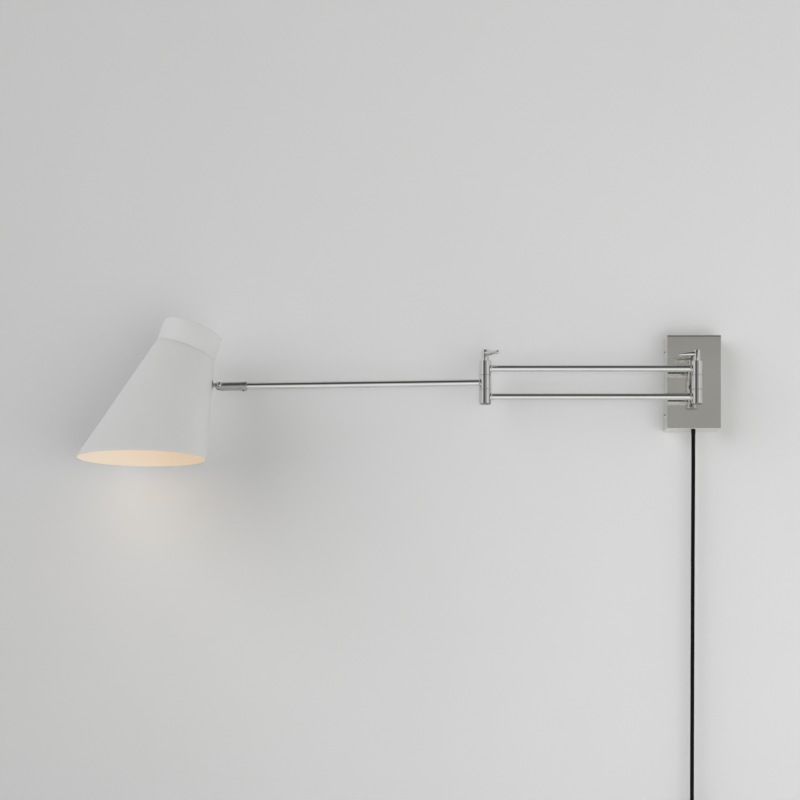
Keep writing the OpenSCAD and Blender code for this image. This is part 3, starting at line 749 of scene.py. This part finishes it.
def bulb():
    """Pear bulb: a ball, a neck that sweeps into it and the collar over the base."""
    ball, centre, neck, neck_end, join = 0.030, -0.078, 0.0132, -0.030, 0.0215
    profile = [(neck - 0.001, -0.0268), (neck, -0.0272), (neck, neck_end)]
    sweep_end = centre + sqrt(ball ** 2 - join ** 2)
    for k in range(1, 12):
        t = k / 12
        profile.append((neck + (join - neck) * t * t * (3 - 2 * t),
                        neck_end + (sweep_end - neck_end) * t))
    start = atan2(sweep_end - centre, join)
    for k in range(24):
        angle = start + (-pi / 2 - start) * k / 24
        profile.append((ball * cos(angle), centre + ball * sin(angle)))
    profile.append((0, centre - ball))
    bm = bmesh.new()
    add_revolved(bm, profile, shade_frame, 64)
    envelope = place("bulb_envelope", finish_mesh(bm, "bulb_envelope"), "shade", "opal_glass",
                     ["bulb_glass"], 60)
    # a dim bulb by daylight: it shows as lit, but adds next to nothing to the wall; its light inside the shade is
    # a painted glow on the enamel there
    envelope.visible_diffuse = False


bulb()


# ---------- stage and light ----------

FLOOR_Z = -1.05
WALL_Y = 0.0004
TOUCHING = 3 * WALL_Y


def stage_material(name, dark, light):
    """Matt paint, see-through from behind and to whatever touches it.

    Other views aren't blocked, and the back of the mounting plate isn't left unlit."""
    shader = Shader(name)
    shader.link(shader.tint(shader.noise(3, 3), dark, light), "Base Color")
    shader.link(shader.span(shader.noise(60, 2), 0.78, 0.9), "Roughness")
    shader.set(Specular_IOR_Level=0.2)
    back = shader.node("ShaderNodeNewGeometry").outputs["Backfacing"]
    reach = shader.node("ShaderNodeLightPath").outputs["Ray Length"]
    unseen = calc(shader.tree, "MAXIMUM", back, calc(shader.tree, "LESS_THAN", reach, TOUCHING))
    clear = shader.node("ShaderNodeBsdfTransparent").outputs[0]
    mixed = shader.node("ShaderNodeMixShader", {0: unseen, 1: shader.bsdf.outputs[0], 2: clear})
    output = shader.tree.nodes["Material Output"]
    shader.tree.links.new(mixed.outputs[0], output.inputs["Surface"])
    return shader.material


def stage_plane(name, corners, material):
    mesh = bpy.data.meshes.new(name)
    mesh.from_pydata(corners, [], [(0, 1, 2, 3)])
    mesh.materials.append(material)
    plane = bpy.data.objects.new(name, mesh)
    scene.collection.objects.link(plane)


wall_paint = stage_material("wall_paint", (0.85, 0.85, 0.855), (0.865, 0.865, 0.87))
floor_paint = stage_material("floor_paint", (0.58, 0.58, 0.57), (0.62, 0.62, 0.61))
stage_plane("wall", [(-5, WALL_Y, FLOOR_Z), (5, WALL_Y, FLOOR_Z), (5, WALL_Y, 2.6),
                     (-5, WALL_Y, 2.6)], wall_paint)
stage_plane("floor", [(-5, -6, FLOOR_Z), (5, -6, FLOOR_Z), (5, 3, FLOOR_Z), (-5, 3, FLOOR_Z)],
            floor_paint)


def daylight(name, direction, spread, strength, colour):
    """Even soft light from one side, as from a large window far away."""
    data = bpy.data.lights.new(name, "SUN")
    data.angle = radians(spread)
    data.energy = strength
    data.color = colour
    light = bpy.data.objects.new(name, data)
    light.rotation_euler = Vector(direction).to_track_quat("Z", "Y").to_euler()
    light.visible_glossy = False
    scene.collection.objects.link(light)


daylight("window", (-0.76, -0.52, 0.34), 54, 1.16, (0.97, 0.985, 1.0))


def bounce(place_at, target, size, power):
    """Large soft patch of light, such as a pale wall gives back, left out of reflections."""
    data = bpy.data.lights.new("bounce", "AREA")
    data.shape = "RECTANGLE"
    data.size, data.size_y = size
    data.energy = power
    light = bpy.data.objects.new("bounce", data)
    light.location = place_at
    light.rotation_euler = (Vector(place_at) - Vector(target)).to_track_quat("Z", "Y").to_euler()
    light.visible_glossy = False
    scene.collection.objects.link(light)


bounce((0.5, -1.7, -0.8), (0.1, 0, -0.5), (2.0, 1.6), 11.5)


def floor_glow(material, strength, edge_x, edge_y, soft):
    """Daylight that pools on the floor out from the wall and lights the scene from below."""
    tree = material.node_tree
    coords = add_node(tree, "ShaderNodeTexCoord").outputs["Object"]
    x, y, _ = add_node(tree, "ShaderNodeSeparateXYZ", {0: coords}).outputs
    pool = calc(tree, "MULTIPLY", ease(tree, x, edge_x - soft, edge_x),
                ease(tree, y, edge_y + soft, edge_y))
    bsdf = tree.nodes["Principled BSDF"]
    tree.links.new(calc(tree, "MULTIPLY", pool, strength), bsdf.inputs["Emission Strength"])
    bsdf.inputs["Emission Color"].default_value = (1, 1, 0.99, 1)


floor_glow(floor_paint, 0.46, edge_x=-0.42, edge_y=-0.50, soft=0.30)


def ramp(tree, source, stops):
    """Ramp from (sine, level) stops; a little warm, as rooms are."""
    along = add_node(tree, "ShaderNodeMapRange", {"Value": source, "From Min": -1}).outputs[0]
    made = add_node(tree, "ShaderNodeValToRGB", {"Fac": along})
    elements = made.color_ramp.elements
    elements.remove(elements[1])
    for index, (sine, level) in enumerate(stops):
        element = elements.new((sine + 1) / 2) if index else elements[0]
        element.color = (level * 1.01, level, level * 0.96, 1)
    return made.outputs[0]


def blend(tree, factor, first, second, kind="MIX"):
    """Two colours mixed by a factor."""
    return add_node(tree, "ShaderNodeMix", {0: factor, "A": first, "B": second},
                    data_type="RGBA", blend_type=kind).outputs["Result"]


def studio():
    """Room light: bright low down and at the sides, dark above, and plain to the camera."""
    world = bpy.data.worlds.new("studio")
    world.use_nodes = True
    tree = world.node_tree
    coords = add_node(tree, "ShaderNodeTexCoord").outputs["Generated"]
    x, _, z = add_node(tree, "ShaderNodeSeparateXYZ", {0: coords}).outputs

    front = ramp(tree, z, [(-1.0, 0.62), (0.10, 0.62), (0.145, 0.39), (0.205, 0.33), (0.24, 0.22),
                           (0.35, 0.06), (0.90, 0.07), (1.0, 0.15)])
    sides = ramp(tree, x, [(-1.0, 0.22), (-0.96, 0.60), (-0.72, 0.66), (-0.64, 0.14),
                           (-0.30, 0.08), (-0.04, 0.10), (0.04, 0.34), (0.46, 0.37), (0.56, 0.68),
                           (0.92, 0.60), (1.0, 0.22)])
    wide = ease(tree, calc(tree, "ABSOLUTE", x), 0.40, 0.65)
    room = blend(tree, wide, front, sides)
    room = blend(tree, ease(tree, z, 0.02, 0.12), room, sides, "DARKEN")
    # the part of the room in front and to the left is darker
    dim_left = calc(tree, "MULTIPLY", ease(tree, x, 0.03, -0.07, 0.75),
                    calc(tree, "SUBTRACT", 1, wide))
    room = blend(tree, dim_left, room, (0.10, 0.10, 0.10, 1))

    lit = tree.nodes["Background"]
    tree.links.new(room, lit.inputs["Color"])
    backdrop = add_node(tree, "ShaderNodeBackground", {"Color": (0.58, 0.58, 0.585, 1)})
    seen = add_node(tree, "ShaderNodeLightPath").outputs["Is Camera Ray"]
    either = add_node(tree, "ShaderNodeMixShader",
                      {0: seen, 1: lit.outputs[0], 2: backdrop.outputs[0]})
    tree.links.new(either.outputs[0], tree.nodes["World Output"].inputs["Surface"])
    scene.world = world


studio()
